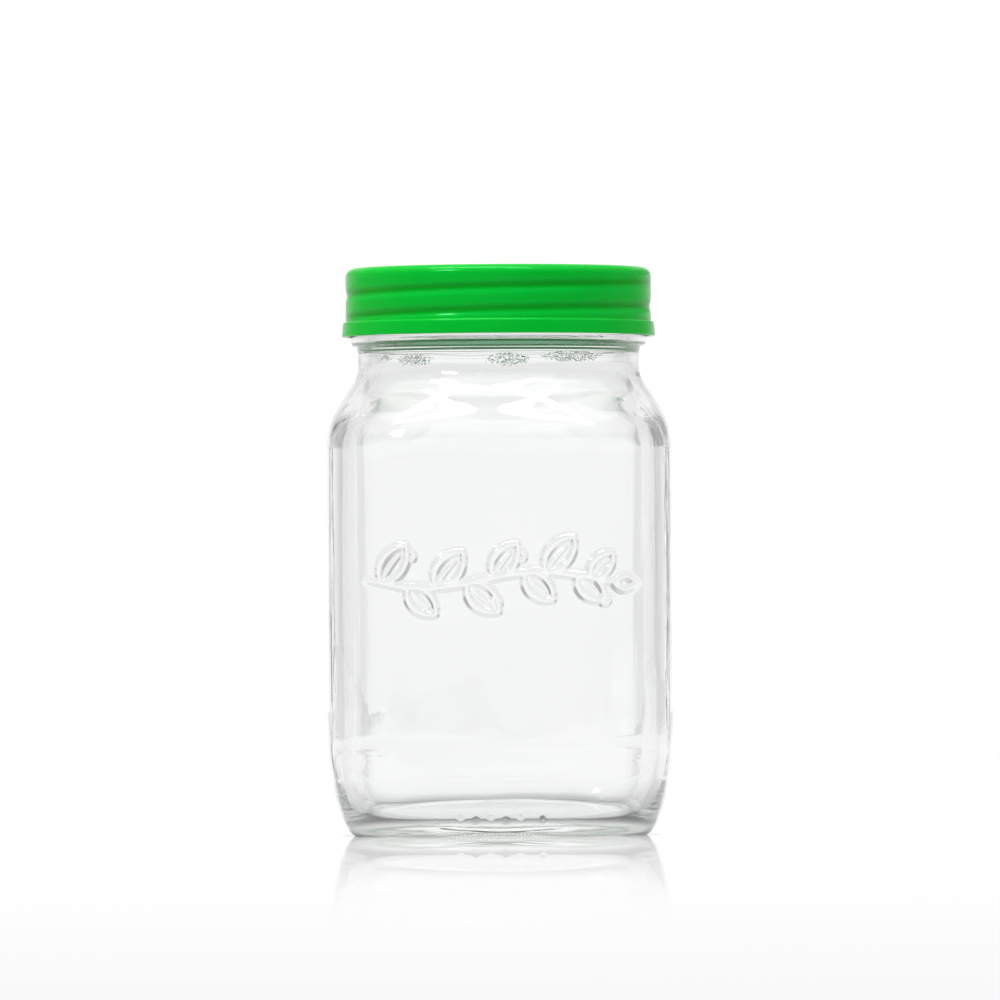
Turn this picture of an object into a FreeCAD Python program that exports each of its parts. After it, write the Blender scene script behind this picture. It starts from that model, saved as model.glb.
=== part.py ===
"""Wide-mouth glass storage jar with a one-piece screw lid and a foam sealing liner.

The frame is +Z up, origin at the centre of the base ring that the jar stands on, millimetres.
Pieces: the pressed-and-blown glass jar, the moulded screw lid, and the liner disc held inside the lid.
The body of the jar is a soft square in plan, which turns into a circle through the shoulder.
"""

import FreeCAD, Part
import math
import os

import Sketcher  # noqa: F401
from FreeCAD import Vector as V

os.makedirs("parts", exist_ok=True)
doc = FreeCAD.newDocument("disinfectant_jar")

# ---------------------------------------------------------------- driving dimensions
sheet = doc.addObject("Spreadsheet::Sheet", "sizes")
CELLS = [
    ("body_half", 50.0, "half of the width across the flats of the body"),
    ("body_corner", 28.0, "radius of the four upright corners"),
    ("body_side", 260.0, "radius of the gentle bulge of each side"),
    ("wall", 3.8, "wall of the body"),
    ("heel_top", 24.6, "height where the heel meets the straight side"),
    ("straight_top", 112.4, "height where the shoulder begins"),
    ("neck_bottom", 136.6, "height where the shoulder has turned into the neck"),
    ("neck_radius", 40.6, "outside of the plain neck"),
    ("bore_radius", 37.2, "inside of the mouth"),
    ("ring_line", 139.75, "parting line below the neck ring"),
    ("ring_radius", 40.85, "outside of the neck above the parting line"),
    ("bead_radius", 42.65, "outside of the transfer bead under the lid"),
    ("bead_bottom", 141.35, "underside of the transfer bead"),
    ("bead_top", 144.9, "upper side of the transfer bead"),
    ("finish_radius", 40.9, "root of the thread on the jar"),
    ("rim_height", 161.6, "sealing rim of the jar"),
    ("rim_round", 1.1, "rounding of the rim"),
    ("floor_edge", 4.1, "inside floor at its edge"),
    ("floor_crown", 7.3, "inside floor at its middle"),
    ("floor_radius", 36.0, "edge of the dome of the inside floor"),
    ("pushup_radius", 37.5, "edge of the hollow under the base"),
    ("pushup_height", 3.9, "depth of the hollow under the base"),
    ("arch_half", 17.0, "half width of the arch at the foot of each side"),
    ("arch_height", 0.45, "height of the arch at the foot of each side"),
    ("pitch", 6.6, "pitch of both threads"),
    ("jar_crest", 42.2, "outside of the thread on the jar"),
    ("jar_root_width", 2.9, "width of the jar's thread at its root"),
    ("jar_tip_width", 1.1, "width of the jar's thread at its crest"),
    ("jar_turns", 1.2, "turns of the jar's thread"),
    ("jar_thread_z", 150.44, "height at which the jar's thread starts"),
    ("jar_thread_turned", 122.0, "direction in which the jar's thread starts, degrees"),
    ("lid_top", 163.9, "top of the lid"),
    ("lid_radius", 44.2, "outside of the wall of the lid"),
    ("lid_inner", 42.9, "inside of the wall of the lid"),
    ("lid_round", 2.6, "rounding of the top edge of the lid"),
    ("lid_under", 162.6, "underside of the top of the lid"),
    ("panel_top", 163.5, "sunk panel on top of the lid"),
    ("panel_radius", 37.0, "edge of the sunk panel on top of the lid"),
    ("lip_top", 148.3, "upper edge of the lip of the lid"),
    ("lip_bottom", 144.1, "lower edge of the lid"),
    ("lip_radius_top", 44.95, "outside of the lip at its upper edge"),
    ("lip_radius_low", 45.35, "outside of the lip at its lower edge"),
    ("lip_inner", 43.9, "inside of the lip"),
    ("lid_crest", 41.45, "inside of the thread of the lid"),
    ("lid_root_width", 2.3, "width of the lid's thread at the wall"),
    ("lid_tip_width", 1.0, "width of the lid's thread at its crest"),
    ("lid_turns", 1.35, "turns of the lid's thread"),
    ("lid_thread_z", 149.82, "height at which the lid's thread starts"),
    ("lid_thread_turned", 189.0, "direction in which the lid's thread starts, degrees"),
    ("groove_floor", 43.8, "radius of the floor of the groove behind the lid's thread"),
    ("groove_width", 2.8, "width of that groove at the outside"),
    ("liner_radius", 42.15, "radius of the liner disc"),
]
S = {}
for i, (alias, value, note) in enumerate(CELLS, start=1):
    sheet.set(f"A{i}", alias)
    sheet.set(f"B{i}", str(value))
    sheet.set(f"C{i}", note)
    sheet.setAlias(f"B{i}", alias)
    S[alias] = value
doc.recompute()


# ---------------------------------------------------------------- helpers
def plane(body, role):
    for f in body.Origin.OriginFeatures:
        if f.Role == role:
            return f
    raise RuntimeError(role)


def new_body(label):
    b = doc.addObject("PartDesign::Body", label)
    b.Label = label
    return b


def new_sketch(body, name, role, offset=(0, 0, 0), offset_expr=None):
    """A sketch on one of the body's own origin planes. offset runs along the plane's own axes."""
    sk = body.newObject("Sketcher::SketchObject", name)
    sk.AttachmentSupport = [(plane(body, role), "")]
    sk.MapMode = "FlatFace"
    sk.AttachmentOffset = FreeCAD.Placement(V(*offset), FreeCAD.Rotation())
    if offset_expr:
        sk.setExpression(".AttachmentOffset.Base.z", offset_expr)
    return sk


def bind(sk, index, name, expression):
    sk.renameConstraint(index, name)
    sk.setExpression("Constraints." + name, expression)


def oval_square(half, side, corner):
    """Centre distance of the corner arcs, and the angle at which a side arc ends, for a soft square."""
    # (c - half + side)^2 + c^2 = (side - corner)^2
    k = side - half
    disc = 4 * k * k - 8 * (k * k - (side - corner) ** 2)
    c = (-2 * k + math.sqrt(disc)) / 4
    return c, math.atan2(c, c + k)


def soft_square(body, name, z, half, side, corner, exprs=None):
    """Sketch of a soft square across Z at height z: four side arcs and four tangent corner arcs."""
    exprs = exprs or {}
    sk = new_sketch(body, name, "XY_Plane", (0, 0, z), exprs.get("z"))
    c, a = oval_square(half, side, corner)
    k = side - half
    ids = []
    for q in range(4):
        t = q * math.pi / 2
        cx, cy = -k * math.cos(t), -k * math.sin(t)
        ids.append(
            sk.addGeometry(
                Part.ArcOfCircle(
                    Part.Circle(V(cx, cy, 0), V(0, 0, 1), side), t - a, t + a
                ),
                False,
            )
        )
        dx, dy = (
            c * (math.cos(t) - math.sin(t)),
            c * (math.sin(t) + math.cos(t)),
        )
        ids.append(
            sk.addGeometry(
                Part.ArcOfCircle(
                    Part.Circle(V(dx, dy, 0), V(0, 0, 1), corner),
                    t + a,
                    t + math.pi / 2 - a,
                ),
                False,
            )
        )
    for i in range(8):
        sk.addConstraint(
            Sketcher.Constraint("Tangent", ids[i], 2, ids[(i + 1) % 8], 1)
        )
    r1 = sk.addConstraint(Sketcher.Constraint("Radius", ids[0], side))
    r2 = sk.addConstraint(Sketcher.Constraint("Radius", ids[1], corner))
    for q in range(1, 4):
        sk.addConstraint(Sketcher.Constraint("Equal", ids[0], ids[2 * q]))
        sk.addConstraint(Sketcher.Constraint("Equal", ids[1], ids[2 * q + 1]))
    sk.addConstraint(Sketcher.Constraint("PointOnObject", ids[0], 3, -1))
    sk.addConstraint(Sketcher.Constraint("PointOnObject", ids[4], 3, -1))
    sk.addConstraint(Sketcher.Constraint("PointOnObject", ids[2], 3, -2))
    sk.addConstraint(Sketcher.Constraint("PointOnObject", ids[6], 3, -2))
    w = [
        sk.addConstraint(Sketcher.Constraint("DistanceX", ids[0], 3, -1, 1, k)),
        sk.addConstraint(Sketcher.Constraint("DistanceX", -1, 1, ids[4], 3, k)),
        sk.addConstraint(Sketcher.Constraint("DistanceY", ids[2], 3, -1, 1, k)),
        sk.addConstraint(Sketcher.Constraint("DistanceY", -1, 1, ids[6], 3, k)),
    ]
    bind(sk, r1, "side_radius", exprs.get("side", f"{side:.6f}"))
    bind(sk, r2, "corner_radius", exprs.get("corner", f"{corner:.6f}"))
    half_expr = exprs.get("half", f"{half:.6f}")
    for i, ci in enumerate(w):
        bind(
            sk,
            ci,
            f"centre_{i}",
            f"({exprs.get('side', f'{side:.6f}')}) - ({half_expr})",
        )
    return sk


def round_section(body, name, z, radius, split, exprs):
    """Sketch of a circle across Z at height z, cut into the same eight arcs as the soft squares."""
    sk = new_sketch(body, name, "XY_Plane", (0, 0, z), exprs.get("z"))
    ids = []
    for q in range(4):
        t = q * math.pi / 2
        for a0, a1 in ((t - split, t + split), (t + split, t + math.pi / 2 - split)):
            ids.append(
                sk.addGeometry(
                    Part.ArcOfCircle(
                        Part.Circle(V(0, 0, 0), V(0, 0, 1), radius), a0, a1
                    ),
                    False,
                )
            )
    for i in range(8):
        sk.addConstraint(
            Sketcher.Constraint("Coincident", ids[i], 2, ids[(i + 1) % 8], 1)
        )
        if i < 7:
            sk.addConstraint(Sketcher.Constraint("Coincident", ids[i], 3, -1, 1))
    sk.addConstraint(Sketcher.Constraint("Equal", ids[0], ids[7]))
    r = sk.addConstraint(Sketcher.Constraint("Radius", ids[0], radius))
    bind(sk, r, "radius", exprs["radius"])
    return sk


def loft(body, kind, name, sections):
    f = body.newObject(kind, name)
    f.Profile = sections[0]
    f.Sections = sections[1:]
    f.Ruled = False
    f.Closed = False
    return f


def at(name, offset=0.0):
    """A coordinate tied to a named size: its value now and the expression that holds it."""
    return S[name] + offset, f"sizes.{name} + ({offset:.4f})"


def minus(name):
    return -S[name], f"-sizes.{name}"


def num(v):
    """A coordinate as a value and an expression, or as a plain number."""
    return v if isinstance(v, tuple) else (float(v), None)


def profile(body, name, points, arcs=None, role="XZ_Plane"):
    """Closed outline whose corners are all held. points are (across, up) coordinates from at(), or
    plain numbers. arcs maps an edge's index to (a point half way along it, radius, expression)."""
    sk = new_sketch(body, name, role)
    arcs = arcs or {}
    pts = [(num(x), num(z)) for x, z in points]
    xy = [(x[0], z[0]) for x, z in pts]
    n = len(xy)
    for i in range(n):
        p, q = xy[i], xy[(i + 1) % n]
        if i in arcs:
            g = turning_arc(p, arcs[i][0], q)
        else:
            g = Part.LineSegment(V(p[0], p[1], 0), V(q[0], q[1], 0))
        sk.addGeometry(g, False)
    for i in range(n):
        j = (i + 1) % n
        sk.addConstraint(Sketcher.Constraint("Coincident", i, end_at(sk, i, xy[j]), j, end_at(sk, j, xy[j])))
    for i in range(n):
        pos = end_at(sk, i, xy[i])
        for kind, (value, expression), axis in (("DistanceX", pts[i][0], -2), ("DistanceY", pts[i][1], -1)):
            if abs(value) < 1e-9:
                sk.addConstraint(Sketcher.Constraint("PointOnObject", i, pos, axis))
                continue
            if value > 0:
                c = sk.addConstraint(Sketcher.Constraint(kind, -1, 1, i, pos, value))
            else:
                c = sk.addConstraint(Sketcher.Constraint(kind, i, pos, -1, 1, -value))
                expression = f"-({expression})" if expression else None
            if expression:
                bind(sk, c, f"corner_{i}_{kind[-1].lower()}", expression)
    for i, (m, radius, expression) in arcs.items():
        c = sk.addConstraint(Sketcher.Constraint("Radius", i, radius))
        if expression:
            bind(sk, c, f"arc_{i}", expression)
    return sk


def turning_arc(p, m, q):
    """The arc from p to q through m, stored anticlockwise so that its two ends keep their order."""
    (ax, ay), (bx, by), (cx, cy) = p, m, q
    d = 2 * (ax * (by - cy) + bx * (cy - ay) + cx * (ay - by))
    aa, bb, cc = ax * ax + ay * ay, bx * bx + by * by, cx * cx + cy * cy
    centre = V(
        (aa * (by - cy) + bb * (cy - ay) + cc * (ay - by)) / d,
        (aa * (cx - bx) + bb * (ax - cx) + cc * (bx - ax)) / d,
        0,
    )
    ap, am, aq = (math.atan2(v[1] - centre.y, v[0] - centre.x) for v in (p, m, q))
    radius = math.hypot(p[0] - centre.x, p[1] - centre.y)
    full = 2 * math.pi
    if (am - ap) % full > (aq - ap) % full:
        ap, aq = aq, ap
    circle = Part.Circle(V(centre.x, centre.y, 0), V(0, 0, 1), radius)
    return Part.ArcOfCircle(circle, ap, ap + (aq - ap) % full)


def end_at(sk, index, point):
    g = sk.Geometry[index]
    s, e = g.StartPoint, g.EndPoint
    p = V(point[0], point[1], 0)
    return 1 if s.distanceToPoint(p) < e.distanceToPoint(p) else 2


def revolve(body, kind, name, sk):
    f = body.newObject(kind, name)
    f.Profile = sk
    f.ReferenceAxis = (sk, ["V_Axis"])
    f.Angle = 360.0
    return f


def check(obj, what):
    last = [x for x in obj.Group if not x.isDerivedFrom("Sketcher::SketchObject")][-1]
    obj.Tip = last
    doc.recompute()
    if any(x in ("Invalid", "Error") for x in last.State):
        raise SystemExit(f"{what}: {last.Name} {last.State} {last.getStatusString()}")
    bad = [x for x in obj.State if x in ("Invalid", "Error")]
    if bad or obj.Shape.isNull() or not obj.Shape.isValid():
        raise SystemExit(f"{what}: state {obj.State}, valid {not obj.Shape.isNull() and obj.Shape.isValid()}")
    print(f"{what}: volume {obj.Shape.Volume / 1000:.2f} cm3, solids {len(obj.Shape.Solids)}", flush=True)


# ---------------------------------------------------------------- shape of the jar's side
# (height, half width, roundness: 0 is the soft square of the body, 1 is a circle)
HEEL = [
    (24.6, 50.00),
    (20.2, 49.50),
    (15.9, 48.72),
    (11.6, 47.80),
    (7.4, 46.65),
    (4.0, 45.42),
    (1.8, 44.40),
    (0.5, 43.45),
    (0.0, 42.30),
]
SHOULDER = [
    (112.4, 50.00, 0.00),
    (113.3, 49.98, 0.003),
    (115.5, 49.70, 0.03),
    (118.3, 49.05, 0.12),
    (121.4, 47.85, 0.27),
    (124.6, 46.25, 0.47),
    (127.6, 44.35, 0.67),
    (130.2, 42.40, 0.84),
    (132.2, 41.30, 0.93),
    (134.2, 40.72, 0.98),
    (136.6, 40.60, 1.00),
]
HEEL_IN = [
    (24.6, 46.20),
    (20.5, 45.75),
    (16.4, 45.05),
    (12.6, 44.10),
    (9.5, 42.95),
    (7.1, 41.60),
    (5.4, 40.00),
    (4.4, 38.20),
    (4.1, 36.50),
]
SHOULDER_IN = [
    (112.4, 46.20, 0.00),
    (115.3, 45.60, 0.03),
    (118.3, 44.40, 0.12),
    (121.4, 42.55, 0.30),
    (124.6, 40.45, 0.52),
    (127.6, 38.80, 0.74),
    (130.2, 37.80, 0.90),
    (132.6, 37.30, 0.98),
    (136.6, 37.20, 1.00),
]


def soft(body, name, z, half, t, inside=False, z_expr=None):
    """A soft square that turns into a circle as t goes from 0 to 1, bound to the body's sizes."""
    base_half = 50.0
    shrink = base_half - half
    corner = S["body_corner"] - shrink * (1.0 if inside else 0.55)
    side = 260.0 - (shrink if inside else 0.0)
    if t > 0:
        side = 1.0 / ((1 - t) / side + t / (half + 0.02))
        corner = (1 - t) * corner + t * (half - 0.02)
    ex = {"half": f"sizes.body_half - {shrink:.4f}"}
    ex["side"] = f"sizes.body_side * {side / 260.0:.9f}"
    ex["corner"] = f"sizes.body_corner * {corner / S['body_corner']:.9f}"
    if z_expr:
        ex["z"] = z_expr
    return soft_square(body, name, z, half, side, corner, ex)


def stack(body, name, table, inside, bottom_expr, top_expr):
    """Sections for a loft. Only the ends ride on named heights; the others keep their own."""
    out = []
    for i, row in enumerate(table):
        z, half = row[0], row[1]
        t = row[2] if len(row) > 2 else 0.0
        z_expr = bottom_expr if i == 0 else top_expr if i == len(table) - 1 else None
        if t >= 1.0:
            e = "sizes.bore_radius" if inside else "sizes.neck_radius"
            ex = {"radius": e}
            if z_expr:
                ex["z"] = z_expr
            out.append(round_section(body, f"{name}_{i}", z, half, math.radians(24.0), ex))
        else:
            out.append(soft(body, f"{name}_{i}", z, half, t, inside, z_expr))
    return out


def helix(body, kind, name, sk, turns_expr):
    f = body.newObject(kind, name)
    f.Profile = sk
    f.ReferenceAxis = (sk, ["V_Axis"])
    f.Mode = 1
    f.Pitch = S["pitch"]
    f.Turns = S[turns_expr]
    f.Angle = 0
    f.Growth = 0
    f.LeftHanded = False
    f.Reversed = False
    f.setExpression("Pitch", "sizes.pitch")
    f.setExpression("Turns", "sizes." + turns_expr)
    return f


def thread_profile(body, name, turned, z, r_wide, w_wide, r_tip, w_tip, exprs):
    """Trapezium standing in the half plane through the axis in the direction `turned` degrees."""
    sk = body.newObject("Sketcher::SketchObject", name)
    sk.AttachmentSupport = [(plane(body, "XZ_Plane"), "")]
    sk.MapMode = "FlatFace"
    # The sketch's own upright axis is the axis of the jar, so it is turned about that.
    sk.AttachmentOffset = FreeCAD.Placement(V(0, z, 0), FreeCAD.Rotation(V(0, 1, 0), turned))
    sk.setExpression(".AttachmentOffset.Base.y", exprs["z"])
    pts = [(r_wide, -w_wide / 2), (r_tip, -w_tip / 2), (r_tip, w_tip / 2), (r_wide, w_wide / 2)]
    for i in range(4):
        p, q = pts[i], pts[(i + 1) % 4]
        sk.addGeometry(Part.LineSegment(V(p[0], p[1], 0), V(q[0], q[1], 0)), False)
    for i in range(4):
        sk.addConstraint(Sketcher.Constraint("Coincident", i, 2, (i + 1) % 4, 1))
    sk.addConstraint(Sketcher.Constraint("Symmetric", 1, 1, 1, 2, -1))
    sk.addConstraint(Sketcher.Constraint("Symmetric", 3, 1, 3, 2, -1))
    c = sk.addConstraint(Sketcher.Constraint("DistanceX", -1, 1, 0, 1, r_wide))
    bind(sk, c, "wide_radius", exprs["r_wide"])
    c = sk.addConstraint(Sketcher.Constraint("DistanceX", -1, 1, 1, 1, r_tip))
    bind(sk, c, "tip_radius", exprs["r_tip"])
    c = sk.addConstraint(Sketcher.Constraint("DistanceY", 1, 1, 1, 2, w_tip))
    bind(sk, c, "tip_width", exprs["w_tip"])
    c = sk.addConstraint(Sketcher.Constraint("DistanceY", 0, 1, 3, 1, w_wide))
    bind(sk, c, "wide_width", exprs["w_wide"])
    return sk


def mid_arc(cx, cz, r, a0, a1):
    """Point half way along an arc, for profile()."""
    a = math.radians((a0 + a1) / 2)
    return (cx + r * math.cos(a), cz + r * math.sin(a))


def volume_drop(body, before, what):
    after = body.Shape.Volume
    if after >= before - 1.0:
        raise SystemExit(f"{what}: took nothing away")
    return after


# ================================================================ the glass jar
jar = new_body("glass_jar")

loft(jar, "PartDesign::AdditiveLoft", "heel", stack(jar, "heel_out", HEEL, False, "sizes.heel_top", None))
check(jar, "heel")

sk = soft(jar, "body_plan", S["heel_top"], 50.0, 0.0, False, "sizes.heel_top")
pad = jar.newObject("PartDesign::Pad", "straight")
pad.Profile = sk
pad.Length = S["straight_top"] - S["heel_top"]
pad.setExpression("Length", "sizes.straight_top - sizes.heel_top")
check(jar, "straight side")

loft(jar, "PartDesign::AdditiveLoft", "shoulder", stack(jar, "shoulder_out", SHOULDER, False, "sizes.straight_top", "sizes.neck_bottom"))
check(jar, "shoulder")

B, F = S["bead_radius"], S["finish_radius"]
zt, zb, rim, rr = S["bead_top"], S["bead_bottom"], S["rim_height"], S["rim_round"]
sk = profile(
    jar,
    "finish_outline",
    [
        (0, at("neck_bottom")),
        (at("neck_radius"), at("neck_bottom")),
        (at("neck_radius"), at("ring_line")),
        (at("ring_radius"), at("ring_line", 0.15)),
        (at("ring_radius"), at("bead_bottom", -0.5)),
        (at("bead_radius", -0.9), at("bead_bottom", 0.1)),
        (at("bead_radius"), at("bead_bottom", 1.0)),
        (at("bead_radius"), at("bead_top", -1.1)),
        (at("bead_radius", -0.9), at("bead_top", -0.2)),
        (at("finish_radius"), at("bead_top", 0.4)),
        (at("finish_radius"), at("rim_height", -rr)),
        (at("finish_radius", -rr), at("rim_height")),
        (0, at("rim_height")),
    ],
    {
        5: (mid_arc(B - 0.9, zb + 1.0, 0.9, -90, 0), 0.9, None),
        7: (mid_arc(B - 0.9, zt - 1.1, 0.9, 0, 90), 0.9, None),
        10: (mid_arc(F - rr, rim - rr, rr, 0, 90), rr, "sizes.rim_round"),
    },
)
revolve(jar, "PartDesign::Revolution", "finish", sk)
check(jar, "finish")

sk = thread_profile(
    jar,
    "jar_thread_profile",
    S["jar_thread_turned"],
    S["jar_thread_z"],
    S["finish_radius"] - 0.3,
    S["jar_root_width"] + 0.4,
    S["jar_crest"],
    S["jar_tip_width"],
    {
        "z": "sizes.jar_thread_z",
        "r_wide": "sizes.finish_radius - 0.3",
        "w_wide": "sizes.jar_root_width + 0.4",
        "r_tip": "sizes.jar_crest",
        "w_tip": "sizes.jar_tip_width",
    },
)
helix(jar, "PartDesign::AdditiveHelix", "jar_thread", sk, "jar_turns")
check(jar, "jar thread")
vol = jar.Shape.Volume

loft(jar, "PartDesign::SubtractiveLoft", "heel_hollow", stack(jar, "heel_in", HEEL_IN, True, "sizes.heel_top", "sizes.floor_edge"))
check(jar, "heel hollow")
vol = volume_drop(jar, vol, "heel hollow")

sk = soft(jar, "body_hollow_plan", S["straight_top"], 46.2, 0.0, True, "sizes.straight_top")
pocket = jar.newObject("PartDesign::Pocket", "body_hollow")
pocket.Profile = sk
pocket.Length = S["straight_top"] - S["heel_top"]
pocket.setExpression("Length", "sizes.straight_top - sizes.heel_top")
check(jar, "body hollow")
vol = volume_drop(jar, vol, "body hollow")

loft(jar, "PartDesign::SubtractiveLoft", "shoulder_hollow", stack(jar, "shoulder_in", SHOULDER_IN, True, "sizes.straight_top", "sizes.neck_bottom"))
check(jar, "shoulder hollow")
vol = volume_drop(jar, vol, "shoulder hollow")

b = S["bore_radius"]
sk = profile(
    jar,
    "mouth_outline",
    [
        (0, at("neck_bottom")),
        (at("bore_radius"), at("neck_bottom")),
        (at("bore_radius"), at("rim_height", -rr)),
        (at("bore_radius", rr), at("rim_height")),
        (at("bore_radius", rr), at("rim_height", 1.0)),
        (0, at("rim_height", 1.0)),
    ],
    {2: (mid_arc(b + rr, rim - rr, rr, 180, 90), rr, "sizes.rim_round")},
)
revolve(jar, "PartDesign::Groove", "mouth", sk)
check(jar, "mouth")
vol = volume_drop(jar, vol, "mouth")

fe, fc, fr = S["floor_edge"], S["floor_crown"], S["floor_radius"]
h = fc - fe
cap = (fr * fr + h * h) / (2 * h)
rise = "(sizes.floor_crown - sizes.floor_edge)"
sk = profile(
    jar,
    "floor_outline",
    [(0, at("floor_edge", -0.8)), (at("floor_radius"), at("floor_edge", -0.8)), (at("floor_radius"), at("floor_edge")), (0, at("floor_crown"))],
    {2: ((fr / 2, fc - cap + math.sqrt(cap * cap - fr * fr / 4)), cap, f"(sizes.floor_radius * sizes.floor_radius + {rise} * {rise}) / (2 * {rise})")},
)
revolve(jar, "PartDesign::Revolution", "floor_dome", sk)
check(jar, "floor dome")
vol = jar.Shape.Volume

pr, ph = S["pushup_radius"], S["pushup_height"]
cap = (pr * pr + ph * ph) / (2 * ph)
sk = profile(
    jar,
    "pushup_outline",
    [(0, -1), (at("pushup_radius"), -1), (at("pushup_radius"), 0), (0, at("pushup_height"))],
    {2: ((pr / 2, ph - cap + math.sqrt(cap * cap - pr * pr / 4)), cap, "(sizes.pushup_radius * sizes.pushup_radius + sizes.pushup_height * sizes.pushup_height) / (2 * sizes.pushup_height)")},
)
revolve(jar, "PartDesign::Groove", "pushup", sk)
check(jar, "push-up")
vol = volume_drop(jar, vol, "push-up")


def arch(role, name):
    """A very low arch across the base, so that the jar stands on its four corners."""
    w, hh = S["arch_half"], S["arch_height"]
    r = (w * w + hh * hh) / (2 * hh)
    f = jar.newObject("PartDesign::Pocket", name)
    f.Profile = profile(
        jar,
        name + "_outline",
        [(minus("arch_half"), -1), (at("arch_half"), -1), (at("arch_half"), 0), (minus("arch_half"), 0)],
        {2: ((0, hh), r, "(sizes.arch_half * sizes.arch_half + sizes.arch_height * sizes.arch_height) / (2 * sizes.arch_height)")},
        role,
    )
    f.Midplane = True
    f.Length = 120
    return f


before = jar.Shape.Volume
arch("XZ_Plane", "arch_front")
check(jar, "arch front to back")
before = volume_drop(jar, before, "arch front to back")
arch("YZ_Plane", "arch_side")
check(jar, "arch side to side")
volume_drop(jar, before, "arch side to side")

# ================================================================ the screw lid
lid = new_body("screw_lid")
lo, li, lt, lr = S["lid_radius"], S["lid_inner"], S["lid_top"], S["lid_round"]
sk = profile(
    lid,
    "lid_outline",
    [
        (0, at("lid_under")),
        (at("lid_inner", -0.7), at("lid_under")),
        (at("lid_inner"), at("lid_under", -0.7)),
        (at("lid_inner"), at("lip_top", 0.2)),
        (at("lip_inner"), at("lip_top", -0.9)),
        (at("lip_inner"), at("lip_bottom", 0.3)),
        (at("lip_inner", 0.3), at("lip_bottom")),
        (at("lip_radius_low", -0.25), at("lip_bottom")),
        (at("lip_radius_low"), at("lip_bottom", 0.25)),
        (at("lip_radius_top"), at("lip_top", -0.35)),
        (at("lip_radius_top", -0.35), at("lip_top")),
        (at("lid_radius", 0.25), at("lip_top")),
        (at("lid_radius"), at("lip_top", 0.25)),
        (at("lid_radius"), at("lid_top", -lr)),
        (at("lid_radius", -lr), at("lid_top")),
        (at("panel_radius", 0.4), at("lid_top")),
        (at("panel_radius"), at("panel_top")),
        (0, at("panel_top")),
    ],
    {
        1: (mid_arc(li - 0.7, S["lid_under"] - 0.7, 0.7, 90, 0), 0.7, None),
        9: (mid_arc(S["lip_radius_top"] - 0.35, S["lip_top"] - 0.35, 0.35, 0, 90), 0.35, None),
        11: (mid_arc(lo + 0.25, S["lip_top"] + 0.25, 0.25, 270, 180), 0.25, None),
        13: (mid_arc(lo - lr, lt - lr, lr, 0, 90), lr, "sizes.lid_round"),
    },
)
revolve(lid, "PartDesign::Revolution", "lid_shell", sk)
check(lid, "lid shell")

sk = thread_profile(
    lid,
    "lid_thread_profile",
    S["lid_thread_turned"],
    S["lid_thread_z"],
    S["lid_inner"] + 0.25,
    S["lid_root_width"] + 0.22,
    S["lid_crest"],
    S["lid_tip_width"],
    {
        "z": "sizes.lid_thread_z",
        "r_wide": "sizes.lid_inner + 0.25",
        "w_wide": "sizes.lid_root_width + 0.22",
        "r_tip": "sizes.lid_crest",
        "w_tip": "sizes.lid_tip_width",
    },
)
helix(lid, "PartDesign::AdditiveHelix", "lid_thread", sk, "lid_turns")
check(lid, "lid thread")
vol = lid.Shape.Volume

sk = thread_profile(
    lid,
    "lid_groove_profile",
    S["lid_thread_turned"],
    S["lid_thread_z"],
    S["lid_radius"] + 0.2,
    S["groove_width"] + 0.5,
    S["groove_floor"],
    S["groove_width"] - 1.2,
    {
        "z": "sizes.lid_thread_z",
        "r_wide": "sizes.lid_radius + 0.2",
        "w_wide": "sizes.groove_width + 0.5",
        "r_tip": "sizes.groove_floor",
        "w_tip": "sizes.groove_width - 1.2",
    },
)
helix(lid, "PartDesign::SubtractiveHelix", "lid_groove", sk, "lid_turns")
check(lid, "lid groove")
volume_drop(lid, vol, "lid groove")

# ================================================================ the liner
liner = new_body("lid_liner")
sk = new_sketch(liner, "liner_plan", "XY_Plane", (0, 0, S["rim_height"]), "sizes.rim_height")
sk.addGeometry(Part.Circle(V(0, 0, 0), V(0, 0, 1), S["liner_radius"]), False)
sk.addConstraint(Sketcher.Constraint("Coincident", 0, 3, -1, 1))
c = sk.addConstraint(Sketcher.Constraint("Radius", 0, S["liner_radius"]))
bind(sk, c, "radius", "sizes.liner_radius")
pad = liner.newObject("PartDesign::Pad", "liner_disc")
pad.Profile = sk
pad.Length = S["lid_under"] - S["rim_height"]
pad.setExpression("Length", "sizes.lid_under - sizes.rim_height")
check(liner, "liner")

# ================================================================ export
doc.recompute()
for o in doc.Objects:
    if any(x in ("Invalid", "Error") for x in o.State):
        raise SystemExit(f"{o.Name}: {o.State}")
for b in (jar, lid, liner):
    bb = b.Shape.BoundBox
    print(b.Label, [round(v, 3) for v in (bb.XMin, bb.XMax, bb.YMin, bb.YMax, bb.ZMin, bb.ZMax)], "valid", b.Shape.isValid())
    b.Shape.exportStep("parts/" + b.Label + ".step")
for x, y in ((jar, lid), (jar, liner), (lid, liner)):
    print(x.Label, y.Label, "common volume", round(x.Shape.common(y.Shape).Volume, 5))
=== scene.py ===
import math

import bpy
import numpy as np
from mathutils import Matrix, Vector


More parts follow.
